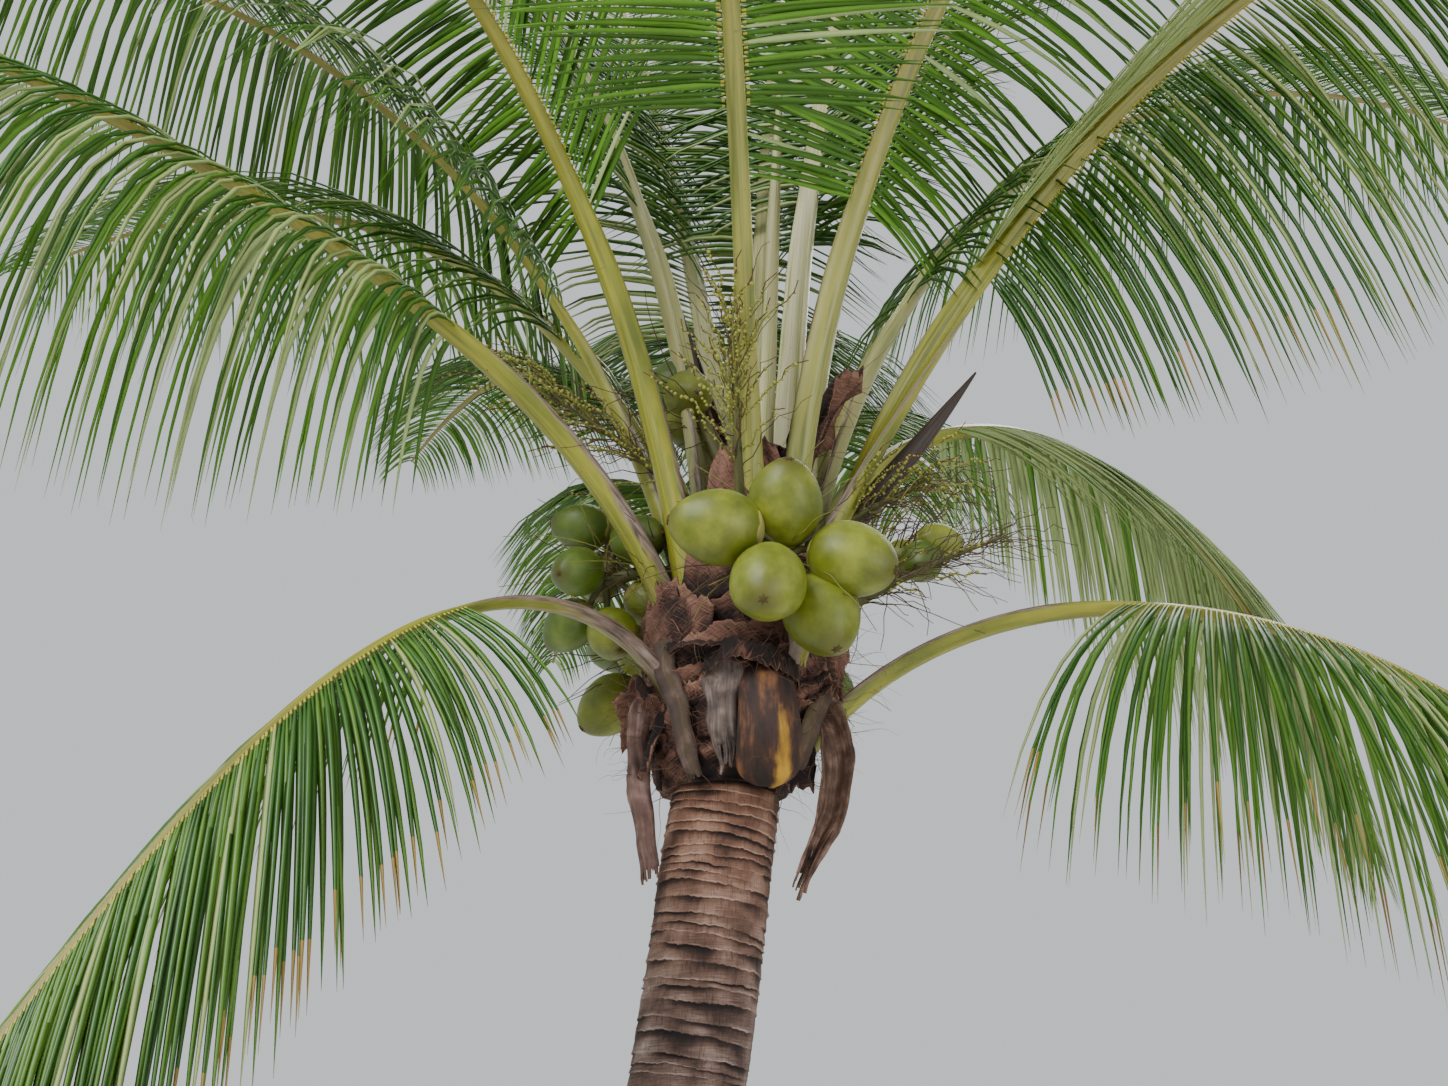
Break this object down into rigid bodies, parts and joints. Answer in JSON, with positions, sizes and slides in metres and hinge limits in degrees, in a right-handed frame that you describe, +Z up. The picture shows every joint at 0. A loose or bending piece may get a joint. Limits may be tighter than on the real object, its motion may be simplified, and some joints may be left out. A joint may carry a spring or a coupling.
{
  "type": "coconut palm tree",
  "caption": "Leaning young coconut palm with a ringed trunk, fibrous leaf sheaths, arching feathery fronds, green nuts, flower sprays and woody spathes.",
  "frame": {"origin": "middle of the flat cut under the trunk, at ground level", "axes": "+Z up; +X towards the trunk's lean, to the right in the front view; +Y away from the viewer"},
  "size_m": [5.856, 6.0485, 6.6125],
  "materials": {
    "bark": "rough, ringed and weathered",
    "sheath_fibre": "coarse dry woven fibre",
    "frond_stalk": "smooth waxy satin",
    "leaflet": "satin leaf, paler above",
    "nut_husk": "smooth satin husk",
    "flower_spray": "matt twigs and buds",
    "spathe": "dry woody sheath, dark and ribbed",
    "dry_strap": "dry torn leaf base"
  },
  "bodies": {
    "root": {"flowers_centre": "flower_spray", "flowers_left": "flower_spray", "flowers_lower_right": "flower_spray", "flowers_right": "flower_spray", "frond_back_blade": "leaflet", "frond_back_left_blade": "leaflet", "frond_back_left_low_blade": "leaflet", "frond_back_left_low_stalk": "frond_stalk", "frond_back_left_stalk": "frond_stalk", "frond_back_left_upright_blade": "leaflet", "frond_back_left_upright_stalk": "frond_stalk", "frond_back_low_blade": "leaflet", "frond_back_low_stalk": "frond_stalk", "frond_back_right_low_blade": "leaflet", "frond_back_right_low_stalk": "frond_stalk", "frond_back_stalk": "frond_stalk", "frond_back_upright_blade": "leaflet", "frond_back_upright_stalk": "frond_stalk", "frond_front_high_blade": "leaflet", "frond_front_high_stalk": "frond_stalk", "frond_heart_back_blade": "leaflet", "frond_heart_back_stalk": "frond_stalk", "frond_heart_left_blade": "leaflet", "frond_heart_left_stalk": "frond_stalk", "frond_heart_right_blade": "leaflet", "frond_heart_right_stalk": "frond_stalk", "frond_left_arched_blade": "leaflet", "frond_left_arched_stalk": "frond_stalk", "frond_left_back_blade": "leaflet", "frond_left_back_stalk": "frond_stalk", "frond_left_front_blade": "leaflet", "frond_left_front_stalk": "frond_stalk", "frond_left_low_blade": "leaflet", "frond_left_low_stalk": "frond_stalk", "frond_right_back_blade": "leaflet", "frond_right_back_stalk": "frond_stalk", "frond_right_front_blade": "leaflet", "frond_right_front_stalk": "frond_stalk", "frond_right_high_blade": "leaflet", "frond_right_high_stalk": "frond_stalk", "frond_right_inner_blade": "leaflet", "frond_right_inner_stalk": "frond_stalk", "frond_right_low_blade": "leaflet", "frond_right_low_stalk": "frond_stalk", "front_base": "dry_strap", "front_strap": "dry_strap", "leaf_sheath": "sheath_fibre", "left_strap": "dry_strap", "nuts_back_left": "nut_husk", "nuts_back_right": "nut_husk", "nuts_front": "nut_husk", "nuts_left": "nut_husk", "nuts_right": "nut_husk", "nuts_upper_left": "nut_husk", "right_strap": "dry_strap", "spathe_back": "spathe", "spathe_right": "spathe", "spathe_upper_left": "spathe", "spear_leaf": "frond_stalk", "trunk": "bark"}
  },
  "joints": []
}
